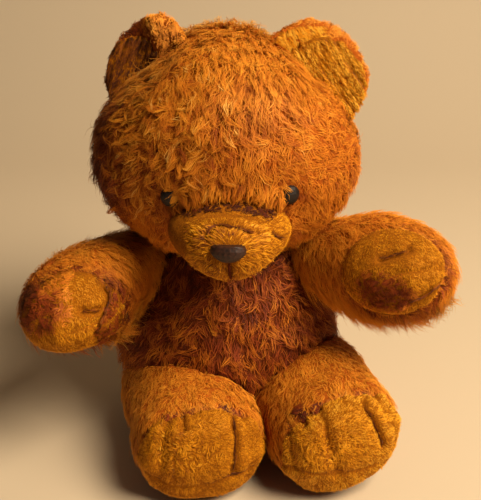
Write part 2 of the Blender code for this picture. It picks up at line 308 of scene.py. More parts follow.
def thin_out(made, keep):
    """Reduce a skin to this share of its faces."""
    modify(made, DECIMATE=dict(ratio=keep))
    points = get_points(made)
    points[:, 2] = np.maximum(points[:, 2], SKIN_HEIGHT)
    shade_smooth(made.data)
    set_points(made, points)


# -------- pile

# Where the bear is looked at from. On the outline, the pile turns its broad side that way.
FRONT = np.array([0.0, -0.9, 0.44])
# Each pair or triple gives a value by lock, by tuft and, where there are three, by strand. A lock holds many
# tufts, and a tuft holds a few strands. Lengths are in metres and angles in radians.
HAIR = dict(
    length=0.0125, width=0.00038, segments=3, rise=0.75, lift=0.18, droop=0.1, hang=0.5,
    spacing=(0.007, 0.0015), pull=(0.38, 0.32), scatter=(0.42, 0.15, 0.07), bend=(0.6, 0.28, 0.12),
    wave=0.45, wave_length=0.01, tones=(0.07, 0.04, 0.035), edge=0.07, wander=0.6, wander_size=0.026,
    patches=0.09, soft=0.82,
)
WOOL = dict(
    HAIR, length=0.008, width=0.00056, segments=2, rise=1.0, pull=(0.3, 0.3), scatter=(0.42, 0.25, 0.22),
    bend=(0.6, 0.3, 0.3), wave=0.0, tones=(0.07, 0.035, 0.03), soft=0.9,
)
STRAY = dict(
    HAIR, length=0.015, width=0.00026, segments=5, rise=1.0, droop=0.0, pull=(0.1, 0.2),
    scatter=(0.5, 0.4, 0.4), bend=(0.9, 0.6, 0.8),
)
VELOUR = dict(
    HAIR, length=0.0034, width=0.0004, segments=1, rise=1.0, lift=0.2, droop=0.0, hang=0.0,
    spacing=(0.0045, 0.0014), pull=(0.1, 0.3), scatter=(0.25, 0.15, 0.14), bend=(0.0, 0.0, 0.0), wave=0.0,
    tones=(0.03, 0.028, 0.036), edge=0.02, wander=0.3, wander_size=0.012, patches=0.07, soft=0.86,
)
BRUSHED_UP = dict(
    VELOUR, length=0.005, width=0.00042, segments=2, rise=1.1, spacing=(0.0045, 0.0017), pull=(0.2, 0.8),
    scatter=(0.8, 0.5, 0.3), bend=(0.4, 0.3, 0.2), tones=(0.05, 0.11, 0.08), soft=0.62,
)
SMOOTH = dict(
    spacing=(0.006, 0.0015), pull=(0.28, 0.2), scatter=(0.22, 0.12, 0.08), bend=(0.3, 0.18, 0.1),
    lift=0.1, rise=0.6, tones=(0.045, 0.03, 0.03), edge=0.02, wander=0.35, patches=0.035,
)
FRINGE = dict(HAIR, length=0.011, lift=0.25, wander=0.3, pull=(0.35, 0.65), spacing=(0.005, 0.0019))


def leaders(root, rng, spacing, area):
    """Scattered strands that lead the rest: which they are, which leads each strand, and how far off."""
    count = min(len(root), max(8, int(area / spacing**2)))
    lead = rng.choice(len(root), size=count, replace=False)
    tree = kd_tree(root[lead])
    led, off = zip(*(tree.find(p)[1:] for p in root))
    return lead, np.array(led), np.array(off)


def spines(root, normal, along, length, k, rise, bend, phase):
    """Each strand's line: it rises from the skin, leans over along its flow, and waves."""
    side = np.cross(normal, along)
    low = below(normal[:, 2], 0.5, 1.0)[:, None] * k["hang"]
    place = root - normal * ROOT_DEPTH
    line = [place]
    for i in range(k["segments"]):
        s = (i + 0.5) / k["segments"]
        heading = bend * s + k["wave"] * np.sin(2.0 * np.pi * s * length / k["wave_length"] + phase)
        slope = rise * (1.0 - s) ** 1.4 - k["droop"] * s
        ahead = np.cos(heading)[:, None] * along + np.sin(heading)[:, None] * side
        step = np.cos(slope)[:, None] * ahead + np.sin(slope)[:, None] * normal
        step = unit(step + low * s * (0.0, 0.0, -1.0))
        place = place + step * (length / k["segments"])[:, None]
        line.append(place)
    return np.stack(line, axis=1)


def one_way(*direction):
    """A flow that is the same everywhere."""
    return lambda p, n: np.tile(np.array(direction, float), (len(p), 1))


def even(value):
    """A tone, or any other amount, that is the same everywhere."""
    return lambda p, n: np.full(len(p), value)


def seen_most(p, n):
    """Pile is thickest on the bear's front and thinner behind."""
    return 0.55 + 0.45 * below(n[:, 1], 0.45, 0.8)


def grow(name, base, style, flow, free, count, seed, material, slot, long=even(1.0), tone=even(0.0),
         thick=seen_most, curl=even(1.0), turn=None, lines=None, part_width=0.0025, line_shade=0.22,
         **changes):
    """A pile of count strands on a skin. It parts along lines, with painted shade in the parting.

    flow, thick, long, curl, tone and turn take roots and the skin's normals. They give the strands' direction
    and density, factors of their length and bend, what is added to their tone, and where their shading turns.
    """
    k = dict(style, **changes)
    rng = np.random.default_rng(seed)
    points, normals, triangles = get_points(base), get_normals(base), get_triangles(base)
    corners = points[triangles]
    sides = corners[:, 1] - corners[:, 0], corners[:, 2] - corners[:, 0]
    area = np.linalg.norm(np.cross(*sides), axis=1) / 2.0
    off_floor = above(corners[:, :, 2].mean(axis=1), 0.0008, 0.002)
    weight = area * free[triangles].mean(axis=1) * off_floor
    weight = weight * thick(corners.mean(axis=1), unit(normals[triangles].mean(axis=1)))
    covered = area[weight > 0.02 * weight.max()].sum()
    count = int(count * DENSITY)
    pick = rng.choice(len(triangles), size=count, p=weight / weight.sum())
    a, b = rng.random(count), rng.random(count)
    over = a + b > 1.0
    a[over], b[over] = 1.0 - a[over], 1.0 - b[over]
    shares = np.stack([1.0 - a - b, a, b], axis=1)[:, :, None]
    root = (corners[pick] * shares).sum(axis=1)
    normal = unit((normals[triangles[pick]] * shares).sum(axis=1))

    groups = [leaders(root, rng, spacing, covered) for spacing in k["spacing"]]

    def varied(amounts, width=1):
        """Random numbers that the strands of a lock, and of a tuft, share in part."""
        total = amounts[2] * rng.normal(size=(count, width))
        for (lead, led, _), amount in zip(groups, amounts):
            total = total + (amount * rng.normal(size=(len(lead), width)))[led]
        return total if width > 1 else total[:, 0]

    aim = flow(root, normal) + k["wander"] * noise_vectors(root, k["wander_size"], seed * 1.7)
    aim = aim + varied(k["scatter"], 3)
    off_lock = np.clip(groups[0][2] / (0.75 * k["spacing"][0]), 0.0, 1.0) ** 2
    length = k["length"] * np.clip(1.0 + varied((0.12, 0.05, 0.12)), 0.5, 1.6) * (1.0 - 0.2 * off_lock)
    length = length * long(root, normal)
    large, small = noise_at(root, 0.022, seed), noise_at(root, 0.007, seed + 3)
    # edge darkens strands far from their lock's middle: painted shade between the locks.
    shade = 0.5 + varied(k["tones"]) + k["patches"] * large
    shade = shade + 0.5 * k["patches"] * small - k["edge"] * (off_lock - 0.4)
    shade = shade + tone(root, normal)
    if lines:
        distance, away = from_lines(root, lines)
        near = hill(distance, 0.0, part_width)
        aim = aim + 1.5 * near[:, None] * away
        length = length * (1.0 - 0.55 * near)
        shade = shade - line_shade * hill(distance, 0.0, 0.5 * part_width)
    along = unit(aim - normal * (aim * normal).sum(axis=1, keepdims=True))

    bend = varied(k["bend"]) * curl(root, normal)
    rise = k["rise"] * np.clip(1.0 + varied((k["lift"], 0.5 * k["lift"], 0.1)), 0.3, 1.5)
    phase = varied((2.0, 1.0, 0.3))
    line = spines(root, normal, along, length, k, rise, bend, phase)
    steps = np.linspace(0.0, 1.0, k["segments"] + 1)
    for (lead, led, _), pull in zip(groups, k["pull"]):
        drawn = (pull * np.clip(1.0 + 0.35 * rng.normal(size=len(lead)), 0.0, 1.6))[led]
        drawn = np.clip(drawn * (0.75 + 0.25 * rng.random(count)), 0.0, 0.95)[:, None] * steps[None, :] ** 1.2
        line = line + (line[lead][led] - line) * drawn[:, :, None]
    on_outline = hill(normal @ FRONT, -0.1, 0.3)[:, None]
    facing = unit(normal + 0.8 * on_outline * FRONT)
    lit = facing if turn is None else unit(facing + turn(root, normal))
    ribbons(name, line, facing, lit, k, rng, np.clip(shade, 0.01, 0.97), material)


def ribbons(name, line, facing, lit, k, rng, shade, material):
    """The mesh of a pile: a tapering ribbon along each line, with its shading eased to the direction lit.

    facing is where its broad side looks.
    """
    count, rows = len(line), k["segments"]
    steps = np.linspace(0.0, 1.0, rows + 1)
    tangent = unit(np.gradient(line, axis=1))
    roll = rng.normal(scale=0.35, size=count)[:, None, None]
    across = unit(np.cross(tangent, facing[:, None, :]))
    across = across * np.cos(roll) + np.cross(across, tangent) * np.sin(roll)
    face = unit(np.cross(across, tangent))
    # Whatever looks to the front is a ribbon's outer side, also where it rises towards the front.
    inner = (facing @ FRONT > 0.0) & ((face @ FRONT).mean(axis=1) < 0.0)
    flip = np.where(inner, -1.0, 1.0)[:, None, None]
    across, face = across * flip, face * flip
    eased = unit(k["soft"] * lit[:, None, :] + (1.0 - k["soft"]) * face)
    taper = np.interp(steps, [0.0, 0.35, 0.75, 1.0], [0.8, 1.0, 0.7, 0.0])
    half = 0.5 * k["width"] * (0.7 + 0.6 * rng.random(count))[:, None] * taper[None, :]

    each = 2 * rows + 1  # a point to the left and one to the right at every step, but one at the tip
    side = np.append(np.tile([-1.0, 1.0], rows), 0.0)

    def paired(values):
        return np.repeat(values, 2, axis=1)[:, :each]

    co = paired(line) + paired(across * half[:, :, None]) * side[:, None]
    co[:, :, 2] = np.maximum(co[:, :, 2], STRAND_HEIGHT)
    shade[:2] = 0.004, 0.98  # so that the map reaches from end to end
    uv = np.empty((count, each, 2))
    uv[:, :, 0] = shade[:, None] + 0.006 * (side + 1.0)
    uv[:, :, 1] = paired(steps[None, :])

    faces = [[q, q + 1, q + 3, q + 2] for q in range(0, 2 * (rows - 1), 2)] + [[each - 3, each - 2, each - 1]]
    pattern = np.concatenate(faces)
    index = ((np.arange(count) * each)[:, None] + pattern[None, :]).ravel()
    sizes = np.tile([len(f) for f in faces], count)
    mesh = bpy.data.meshes.new(name)
    mesh.vertices.add(count * each)
    mesh.vertices.foreach_set("co", co.astype(np.float32).ravel())
    mesh.loops.add(len(index))
    mesh.loops.foreach_set("vertex_index", index.astype(np.int32))
    mesh.polygons.add(len(sizes))
    mesh.polygons.foreach_set("loop_start", (np.cumsum(sizes) - sizes).astype(np.int32))
    mesh.update(calc_edges=True)
    shade_smooth(mesh)
    for layer in ("strand", "OFBake"):
        mesh.uv_layers.new(name=layer).uv.foreach_set(
            "vector", uv.reshape(-1, 2)[index].astype(np.float32).ravel()
        )
    mesh.normals_split_custom_set_from_vertices(paired(eased).reshape(-1, 3).astype(np.float32))
    mesh.materials.append(material)
    made = object_of(name, mesh)
    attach(made, "root")


# -------- materials


def srgb(*colour):
    """The linear colour of an sRGB one given from 0 to 255."""
    shares = [value / 255.0 for value in colour]
    return (*(c / 12.92 if c <= 0.04045 else ((c + 0.055) / 1.055) ** 2.4 for c in shares), 1.0)


def stops(*given):
    """Stops of a ramp, each given as its position and its sRGB colour."""
    return [(position, srgb(*colour)) for position, *colour in given]


def grey(value):
    return (value, value, value, 1.0)


def set_sockets(node, **values):
    for key, value in values.items():
        node.inputs[key.replace("_", " ")].default_value = value


def new_material(name, **values):
    made = bpy.data.materials.new(name)
    made.use_nodes = True
    shader = made.node_tree.nodes["Principled BSDF"]
    set_sockets(shader, **values)
    return made, made.node_tree, shader


def ramp(tree, amount, colours, socket):
    """Link a ramp, read at this amount, to a socket."""
    node = tree.nodes.new("ShaderNodeValToRGB")
    elements = node.color_ramp.elements
    while len(elements) < len(colours):
        elements.new(0.5)
    for element, (position, colour) in zip(elements, colours):
        element.position = position
        element.color = colour
    tree.links.new(amount, node.inputs["Fac"])
    tree.links.new(node.outputs["Color"], socket)


def noise_texture(tree, place, **values):
    node = tree.nodes.new("ShaderNodeTexNoise")
    set_sockets(node, **values)
    tree.links.new(place, node.inputs["Vector"])
    return node.outputs["Fac"]


def bump(tree, height, shader, **values):
    node = tree.nodes.new("ShaderNodeBump")
    set_sockets(node, **values)
    tree.links.new(height, node.inputs["Height"])
    tree.links.new(node.outputs["Normal"], shader.inputs["Normal"])


def pile_material(name, roots, tips, roughness, sheen):
    """Colour from the strand's tone at its root and at its tip, blended along the strand. The root ramps are
    darker: painted shade deep in the pile.
    """
    made, tree, shader = new_material(
        name, Roughness=roughness, Sheen_Weight=sheen, Sheen_Roughness=0.45, Sheen_Tint=srgb(255, 170, 80),
        Specular_IOR_Level=0.2,
    )
    uv = tree.nodes.new("ShaderNodeUVMap")
    uv.uv_map = "strand"
    split = tree.nodes.new("ShaderNodeSeparateXYZ")
    tree.links.new(uv.outputs["UV"], split.inputs[0])
    mix = tree.nodes.new("ShaderNodeMix")
    mix.data_type = "RGBA"
    ramp(tree, split.outputs["X"], roots, mix.inputs["A"])
    ramp(tree, split.outputs["X"], tips, mix.inputs["B"])
    ramp(tree, split.outputs["Y"], [(0.0, grey(0.0)), (0.8, grey(1.0))], mix.inputs["Factor"])
    tree.links.new(mix.outputs["Result"], shader.inputs["Base Color"])
    return made


def cloth_material(name, dark, light, scale):
    """Backing under the pile, wadding or thread: mottled, with a fibrous bump."""
    made, tree, shader = new_material(
        name, Roughness=0.95, Sheen_Weight=0.15, Sheen_Tint=srgb(*light), Specular_IOR_Level=0.1
    )
    stretch = tree.nodes.new("ShaderNodeMapping")
    set_sockets(stretch, Scale=(1.0, 1.0, 0.45))
    tree.links.new(tree.nodes.new("ShaderNodeTexCoord").outputs["Object"], stretch.inputs["Vector"])
    fibre = noise_texture(tree, stretch.outputs["Vector"], Scale=scale, Detail=6.0, Distortion=1.2)
    ramp(tree, fibre, stops((0.35, *dark), (0.68, *light)), shader.inputs["Base Color"])
    bump(tree, fibre, shader, Strength=0.7, Distance=0.0012)
    return made


def hard_material(name, dark, light, roughness, scale, depth, **values):
    """Moulded plastic: clouded and scuffed, with a fine uneven surface."""
    made, tree, shader = new_material(name, **values)
    place = tree.nodes.new("ShaderNodeTexCoord").outputs["Object"]
    cloud = noise_texture(tree, place, Scale=scale, Detail=8.0, Roughness=0.65)
    ramp(tree, cloud, stops((0.35, *dark), (0.7, *light)), shader.inputs["Base Color"])
    ramp(tree, cloud, [(0.3, grey(roughness[0])), (0.7, grey(roughness[1]))], shader.inputs["Roughness"])
    bump(tree, cloud, shader, Strength=0.5, Distance=depth)
    return made


# Each root ramp is darker than its tip ramp: painted shade deep in the pile.
RUST_ROOTS = stops((0.0, 40, 17, 8), (0.25, 112, 45, 12), (0.5, 188, 98, 20), (1.0, 214, 128, 36))
RUST_TIPS = stops((0.0, 66, 26, 15), (0.25, 150, 60, 18), (0.5, 215, 126, 26), (0.75, 234, 156, 42),
                  (1.0, 244, 192, 96))
GOLD_ROOTS = stops((0.0, 44, 18, 9), (0.3, 116, 54, 9), (0.5, 176, 102, 8), (1.0, 214, 142, 22))
GOLD_TIPS = stops((0.0, 70, 32, 17), (0.25, 146, 74, 17), (0.5, 218, 140, 10), (0.75, 240, 161, 22),
                  (1.0, 250, 192, 60))
rust_pile = pile_material("rust_pile", RUST_ROOTS, RUST_TIPS, roughness=0.65, sheen=0.12)
gold_pile = pile_material("gold_pile", GOLD_ROOTS, GOLD_TIPS, roughness=0.7, sheen=0.18)
rust_backing = cloth_material("rust_backing", (140, 64, 14), (184, 94, 20), scale=900.0)
# The torso's backing is darker: painted shade in the gaps of its pile.
shaded_backing = cloth_material("shaded_backing", (70, 28, 8), (120, 52, 14), scale=900.0)
gold_backing = cloth_material("gold_backing", (112, 60, 6), (172, 100, 10), scale=1100.0)
wadding = cloth_material("wadding", (186, 180, 164), (232, 228, 216), scale=500.0)
thread_cotton = cloth_material("thread_cotton", (62, 22, 10), (124, 54, 24), scale=2500.0)
# By the first key that a node's name holds, the material of the CAD nodes that stay as they are.
FITTINGS = {
    "stuffing": wadding,
    "washer": hard_material("washer_plastic", (196, 192, 176), (226, 224, 214), (0.4, 0.6),
                            scale=250.0, depth=0.0002),
    "nose": hard_material("nose_plastic", (24, 13, 9), (68, 36, 22), (0.42, 0.62), scale=420.0,
                          depth=0.0003, Specular_IOR_Level=0.28, Coat_Weight=0.08, Coat_Roughness=0.4),
    "eye": hard_material("eye_plastic", (14, 10, 8), (40, 27, 20), (0.46, 0.6), scale=300.0,
                         depth=0.0001, Specular_IOR_Level=0.28, Coat_Weight=0.05, Coat_Roughness=0.4),
}
for name, node in nodes.items():
    key = next((key for key in FITTINGS if key in name), None)
    if key:
        for held in node.material_slots:
            held.material = FITTINGS[key]

# -------- where the pile runs


def middle(node):
    return np.mean(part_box(node), axis=0)


def others(*left_out):
    """Every CAD node but these and what is hidden inside."""
    return [n for n in sorted(nodes) if n not in left_out and not n.endswith(("washer", "stuffing"))]


def distance_to(*names):
    """A function that tells how far points lie from these CAD nodes."""
    tree = tree_of(names)
    return lambda p: np.array([tree.find_nearest(q)[3] for q in p])


def lumps(depth, seed, to_seam=None, groove=0.003):
    """Uneven stuffing, drawn in along the seam of a pad by this groove."""

    def relief(p):
        moved = depth * noise_at(p, 0.014, seed)
        return moved if to_seam is None else moved - groove * hill(to_seam(p), 0.001, 0.004)

    return relief


PLUSH = dict(backing=rust_backing, slot="rust_plush")
VELVET = dict(backing=gold_backing, slot="gold_velour", voxel=0.0013)


def filled(part):
    return part + "_cover", part + "_stuffing"


def dress(name, sources, backing, slot, voxel, relief=None, smoothing=8, keep=0.5, flatten=0, seams=(),
          folds=()):
    """A part's skin, which stands for its CAD nodes, with fine seams and deep folds pressed into it."""
    base = wrap(name + "_skin", sources, voxel, smoothing)
    if flatten:
        ease(base, flatten, below(get_normals(base)[:, 1], 0.2, 0.3))
    if relief:
        move_points(base, relief(get_points(base)))
    laid = [laid_line(base, line) for line in seams + folds]
    if folds:
        crease(base, laid[len(seams):], depth=0.003, width=0.0022, puff=0.0016, puff_width=0.012)
    if seams:
        crease(base, laid[:len(seams)], depth=0.0014, width=0.0013, puff=0.0006, puff_width=0.006)
    thin_out(base, keep)
    base.data.materials.clear()
    base.data.materials.append(backing)
    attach(base, "root")
    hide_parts(*[s for s in sources if not s.endswith("stuffing")])
    return base, laid


def rust(*what, **more):
    grow(*what, material=rust_pile, slot="rust_plush", **more)


def gold(*what, **more):
    grow(*what, material=gold_pile, slot="gold_velour", **more)


def coat(name, base, flow, seed, wool, hair, stray, longer=1.0, **more):
    """A filled part's pile: short wool close to the skin, hair over it, and a few long curled strays."""
    free = exposed(base, others(*filled(name)))
    layers = {"wool": (WOOL, wool), "hair": (HAIR, hair), "stray": (STRAY, stray)}
    for k, (layer, (style, count)) in enumerate(layers.items()):
        rust(f"{name}_{layer}", base, style, flow, free, count=count, seed=seed + 100 * k,
             length=style["length"] * longer, **more)
    return free


def short_pile(name, base, part, flow, hollow=False, **more):
    free = exposed(base, others(part), reach=0.002, least=0.0002)
    if hollow:
        free = free * outer(base)
    gold(name + "_pile", base, VELOUR, flow, free, **more)
    return free


def shaded_rows(name, base, lines, seed, height, spread, light):
    """Short dark strands that lie along sewn lines, two to each of a line's points: painted shade in the
    creases.

    height is how far over the skin they lie, spread how far they stray, and light the tone of the lightest.
    """
    rng = np.random.default_rng(seed)
    reached = np.array([0, 2, 4, 6])  # the points of a line that a strand runs through, from its first one
    pieces, facing = [], []
    for line in lines:
        for start in rng.integers(0, max(1, len(line) - reached[-1]), size=2 * len(line)):
            piece = line[np.minimum(start + reached, len(line) - 1)]
            normal = np.array(base.closest_point_on_mesh(piece[1])[2])
            pieces.append(piece + height * rng.uniform(0.5, 1.1) * normal)
            facing.append(normal)
    pieces = np.array(pieces) + rng.normal(scale=spread, size=(len(pieces), 1, 3))
    style = dict(VELOUR, segments=3, width=0.0005)
    shade = rng.uniform(0.01, light, len(pieces))
    facing = np.array(facing)
    pieces[1] -= 0.004 * facing[1]  # the lightest one, which only spans the map, stays under the skin
    ribbons(name, pieces, facing, facing, style, rng, shade, gold_pile)


def fringe(name, base, free, over, reach, lean, only=lambda p: 1.0, **more):
    """Plush that hangs over the edge of other nodes, from roots within reach of them.

    The strands run straight towards those nodes, but lean this way.
    """
    tree = tree_of(over)
    distance = distance_to(*over)

    def flow(p, n):
        nearest = np.array([tree.find_nearest(q)[0] for q in p])
        return unit(nearest - p) + lean

    rust(name, base, FRINGE, flow, free, thick=lambda p, n: hill(distance(p), 0.0, reach) * only(p), **more)


# ---- head

head = middle("head_cover")
muzzle = middle("muzzle_cover")
nose = middle("nose")
eyes = {side: middle("eye_" + side) for side in ("left", "right")}
to_muzzle = distance_to("muzzle_cover")


def on_brow(p):
    """The curled, tousled side of the forehead, on the bear's right."""
    return spot(p, (-0.048, -0.08, 0.262), 0.042)


def on_temple(p):
    """The short, woolly side of the forehead, on the bear's left."""
    return above(p[:, 0], 0.02, 0.05) * above(p[:, 2], 0.225, 0.03)


def on_crown(p):
    return above(p[:, 2], 0.285, 0.03)


def over_muzzle(p):
    return above(p[:, 2], 0.222, 0.006)


def head_flow(p, n):
    """Down the face from the crown, outwards over the temple, and away from the muzzle under it."""
    crown = on_crown(p)
    across = (p[:, 0] - head[0]) / 0.1
    down = np.stack([(0.65 - 0.55 * crown) * across, -0.4 - 0.9 * crown, np.full(len(p), -1.0)], axis=1)
    temple = (on_temple(p) * (1.0 - 0.7 * crown))[:, None]
    down = down * (1.0 - 0.9 * temple) + temple * (1.0, -0.2, 0.25)
    below_brow = below(p[:, 2], muzzle[2] + 0.018, 0.012)[:, None]
    return down + 1.8 * below_brow * spot(p, muzzle, 0.045)[:, None] * unit(p - muzzle)


def head_long(p, n):
    """Short on the temple, round the eyes, and under and beside the muzzle; long on the crown."""
    long = 1.0 - 0.35 * on_temple(p) + 0.15 * on_crown(p) + 0.1 * on_brow(p)
    for eye in eyes.values():
        long = long * (1.0 - 0.8 * spot(p, eye, 0.0125))
    chin = below(p[:, 2], muzzle[2] + 0.012, 0.01) * spot(p, muzzle, 0.055)
    return long * (1.0 - 0.45 * chin)


def head_tone(p, n):
    """Painted light on the crown, most towards its back, and painted shade between the locks, among the
    brow's curls, round the eyes, beside the right eye and on the far right side.
    """
    crown = on_crown(p)
    parting_shade = np.minimum(streaks_at(p, 0.0065, 3.0, (0.2, -0.7, -0.7), 9), 0.2) - 0.08
    behind = above(p[:, 1], -0.015, 0.03)
    tone = (0.12 + 0.22 * behind) * crown - 0.12 * on_brow(p) + 0.24 * parting_shade * np.maximum(crown, on_brow(p))
    for eye in eyes.values():
        tone = tone - 0.22 * spot(p, eye, 0.012)
    tone = tone - 0.3 * below(p[:, 0], -0.062, 0.03)
    return tone - 0.55 * spot(p, (-0.028, -0.0935, 0.228), 0.0035)


def head_relief(p):
    """Uneven stuffing, and a brow that swells over the muzzle's upper seam, which is drawn in."""
    away = to_muzzle(p)
    brow = 0.0026 * hill(away, 0.007, 0.005) - 0.0036 * hill(away, 0.0, 0.0032)
    return 0.0016 * noise_at(p, 0.014, 4) + brow * over_muzzle(p)


def crown_front(p, n):
    return above(p[:, 2], 0.284, 0.02) * below(p[:, 1], 0.055, 0.03)


def brow_and_ear_base(p, n):
    return on_brow(p) + spot(p, (-0.06, -0.045, 0.294), 0.011)


def any_way(p, n):
    """Down on the whole, but every lock its own way."""
    return head_flow(p, n) + 1.3 * noise_vectors(p, 0.012, 3)


head_skin, _ = dress("head", filled("head"), **PLUSH, voxel=0.0034, relief=head_relief)
head_free = coat("head", head_skin, head_flow, seed=11, wool=25000, hair=21800, stray=400, long=head_long,
                 curl=lambda p, n: 0.8 + 1.6 * on_brow(p) + 0.3 * on_temple(p), tone=head_tone)
rust("crown_locks", head_skin, HAIR, head_flow, head_free, count=6500, seed=12, thick=crown_front,
     tone=head_tone, length=0.019, segments=4, rise=0.65, spacing=(0.0046, 0.0015), pull=(0.6, 0.3),
     scatter=(0.18, 0.07, 0.04), bend=(0.35, 0.15, 0.08), wave=0.55, wave_length=0.014,
     tones=(0.06, 0.03, 0.03), wander=0.2)
rust("brow_curls", head_skin, HAIR, any_way, head_free, count=4600, seed=13, thick=brow_and_ear_base,
     long=head_long, tone=lambda p, n: 0.12 + head_tone(p, n), length=0.014, segments=5, rise=1.15,
     droop=0.0, hang=0.25, spacing=(0.0056, 0.0017), pull=(0.85, 0.45), scatter=(0.7, 0.22, 0.1),
     bend=(1.3, 0.4, 0.15), tones=(0.13, 0.06, 0.05), edge=0.22)
fringe("head_fringe", head_skin, head_free, ("muzzle_cover",), count=3000, seed=14, reach=0.008,
       lean=(0.0, -0.6, -0.6), only=over_muzzle, length=0.014, rise=2.0, segments=4)
fringe("ear_fringe", head_skin, head_free, ("ear_front_left", "ear_front_right"), count=1300, seed=15,
       reach=0.006, lean=(0.0, -0.4, 0.3), length=0.01, rise=0.9)

# Locks that hang over the eyes: how far each is from its eye, which way it falls, how many strands.
EYE_LOCKS = {
    "left": ((-0.0085, 0.0, 0.0045), (0.45, -0.8, -0.8), 110),
    "right": ((0.0065, 0.0, 0.0065), (-0.5, -0.8, -0.8), 420),
}
for k, (side, (away, fall, count)) in enumerate(EYE_LOCKS.items()):
    start = eyes[side] + np.array(away)

    def near_eye(p, n):
        return spot(p, start, 0.005, scale=(1.0, 0.6, 1.0))

    rust("brow_lock_" + side, head_skin, HAIR, one_way(*fall), head_free, count=count, seed=17 + k,
         thick=near_eye, tone=even(0.14), length=0.0115, rise=1.5, wander=0.15, scatter=(0.25, 0.15, 0.1),
         pull=(0.6, 0.5))

# ---- torso


def torso_flow(p, n):
    """Down, and outwards to the sides."""
    return np.stack([0.5 * p[:, 0] / 0.09, np.full(len(p), -0.25), np.full(len(p), -1.0)], axis=1)


def torso_tone(p, n):
    # Darker all over, partly the torso's redder pile and partly painted shade, and darker on the upper chest:
    # a painted shadow of the head.
    return -0.22 + 0.14 * noise_at(p, 0.012, 5) - 0.06 * above(p[:, 2], 0.14, 0.03)


torso_skin, _ = dress("torso", filled("torso"), shaded_backing, "rust_plush", 0.0034, lumps(0.003, 5))
coat("torso", torso_skin, torso_flow, seed=21, wool=8200, hair=9800, stray=100, longer=1.2, tone=torso_tone,
     spacing=(0.0085, 0.0024), pull=(0.65, 0.5), edge=0.16)

# ---- limbs

# Which way the pile of each arm and leg lies.
ARMS = {"left": (0.55, -0.45, -0.7), "right": (0.65, -0.4, -0.45)}
LEGS = {"left": (0.15, -0.6, -0.5), "right": (0.0, -0.6, -0.5)}
# Where the pile parts over the top of each sole; dark strands there paint the shade in these gaps.
SHADED_GAPS = {
    "left": ((0.0561, -0.1272, 0.0763), (0.0705, -0.13, 0.08), (0.1025, -0.1246, 0.0852)),
    "right": ((-0.038, -0.1366, 0.0755), (-0.019, -0.1345, 0.079), (0.003, -0.129, 0.0765)),
}
# Where the paws have taken up dirt: the middle and the reach of each dark patch, how much wider than high it
# is, and how dark.
STAINS = {
    "left": ((0.116, -0.103, 0.161), 0.016, 1.3, -0.31),
    "right": ((-0.136, -0.116, 0.157), 0.016, 1.5, -0.44),
}


def in_stain(side, p):
    """1 all over a paw's dark patch, and 0 well outside it."""
    centre, reach, wider, _ = STAINS[side]
    patch = spot(p, centre, reach, scale=(1.0 / wider, 0.5, 1.0))
    return smooth_step(2.2 * patch - 0.4 + 0.14 * noise_at(p, 0.008, 6))


def soiled(p, n):
    return sum(STAINS[side][3] * in_stain(side, p) for side in STAINS)


for k, side in enumerate(ARMS):
    part = "arm_" + side
    to_pad = distance_to("palm_pad_" + side)
    base, _ = dress(part, filled(part), **PLUSH, voxel=0.003, relief=lumps(0.0007, 8, to_pad))

    def arm_tone(p, n):
        """Painted shade along the pad's seam, dark in the stain and on the flap, and painted light
        underneath.
        """
        flap = spot(p, (-0.074, -0.09, 0.152), 0.02)
        tone = 0.11 + 0.12 * below(n[:, 2], 0.0, 0.5) + 0.7 * soiled(p, n) - 0.28 * flap
        return tone - 0.5 * hill(to_pad(p), 0.0, 0.004)

    free = coat(part, base, one_way(*ARMS[side]), seed=31 + k, wool=7500, hair=7500, stray=80, tone=arm_tone,
                long=lambda p, n: 1.0 + 0.7 * above(-n[:, 2], 0.1, 0.5), **SMOOTH)
    fringe(part + "_fringe", base, free, ("palm_pad_" + side,), count=1300, seed=35 + k, reach=0.004,
           lean=(0.0, -0.3, -0.3), tone=soiled, length=0.0095, spacing=(0.008, 0.0019))
for k, side in enumerate(LEGS):
    part = "leg_" + side
    to_sole = distance_to("sole_" + side)
    base, _ = dress(part, filled(part), **PLUSH, voxel=0.003, relief=lumps(0.0012, 8, to_sole))

    def leg_tone(p, n):
        """Painted shade in the gap beside the sole."""
        gap = 0.75 + 0.5 * noise_at(p, 0.009, 7)
        return 0.13 - 0.65 * gap * hill(to_sole(p), 0.0, 0.005)

    free = coat(part, base, one_way(*LEGS[side]), seed=41 + k, wool=7700, hair=7000, stray=70, longer=0.75,
                tone=leg_tone, long=lambda p, n: 1.0 - 0.5 * hill(to_sole(p), 0.0, 0.004), **SMOOTH)
    # Dark strands in the gaps over the sole: painted shade.
    rust(part + "_gaps", base, WOOL, one_way(0.0, -0.8, -0.5), free, count=700, seed=47 + k,
         thick=lambda p, n: sum(spot(p, gap, 0.0036) for gap in SHADED_GAPS[side]), tone=even(-0.38), length=0.0078,
         wander=0.1)
    fringe(part + "_fringe", base, free, ("sole_" + side,), count=500, seed=45 + k, reach=0.006,
           lean=(0.0, -0.3, -0.8), tone=lambda p, n: 0.7 * noise_at(p, 0.009, 7) - 0.15, length=0.008,
           rise=0.9, spacing=(0.007, 0.0022), pull=(0.8, 0.6))

# ---- ears, palms, soles, muzzle

